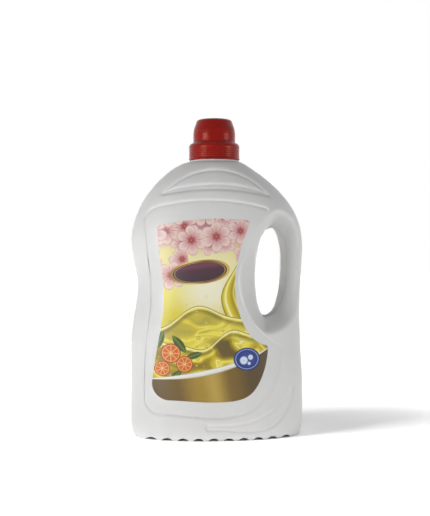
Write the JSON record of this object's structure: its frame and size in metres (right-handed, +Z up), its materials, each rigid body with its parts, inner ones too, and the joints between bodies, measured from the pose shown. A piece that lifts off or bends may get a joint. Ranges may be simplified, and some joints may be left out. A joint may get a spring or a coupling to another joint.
{
  "type": "laundry detergent bottle",
  "caption": "White blow-moulded detergent bottle with a pass-through side handle, a recessed front label and a red screw-on dosing cap over a pouring spout.",
  "frame": {"origin": "on the table under the middle of the body, seen from the front and from the side", "axes": "+X to the right of the front label, towards the handle; +Y away from the label, to the back; +Z up"},
  "size_m": [0.1752, 0.1082, 0.32],
  "materials": {
    "bottle_white": "satin blow-moulded polyethylene",
    "insert_white": "moulded natural polypropylene",
    "cap_red": "glossy moulded polypropylene",
    "seal_foam": "closed-cell foam",
    "label_film": "printed film in yellow, gold and pink"
  },
  "bodies": {
    "bottle_body": {"bottle": "bottle_white", "pouring_insert": "insert_white", "front_label": "label_film"},
    "seal_body": {"cap_seal": "seal_foam"},
    "cap_body": {"dosing_cap": "cap_red"}
  },
  "joints": [
    {"name": "cap_lift", "type": "slide", "parent": "bottle_body", "child": "seal_body", "axis": [0, 0, 1], "range_m": [0, 0.03]},
    {"name": "cap_turn", "type": "hinge", "parent": "seal_body", "child": "cap_body", "pos_m": [-0.003, 0, 0.285], "axis": [0, 0, 1], "range_deg": [0, 1800]}
  ],
  "couplings": [
    {"joint": "cap_turn", "follows": "cap_lift", "rad_per_m": 1047.2}
  ]
}
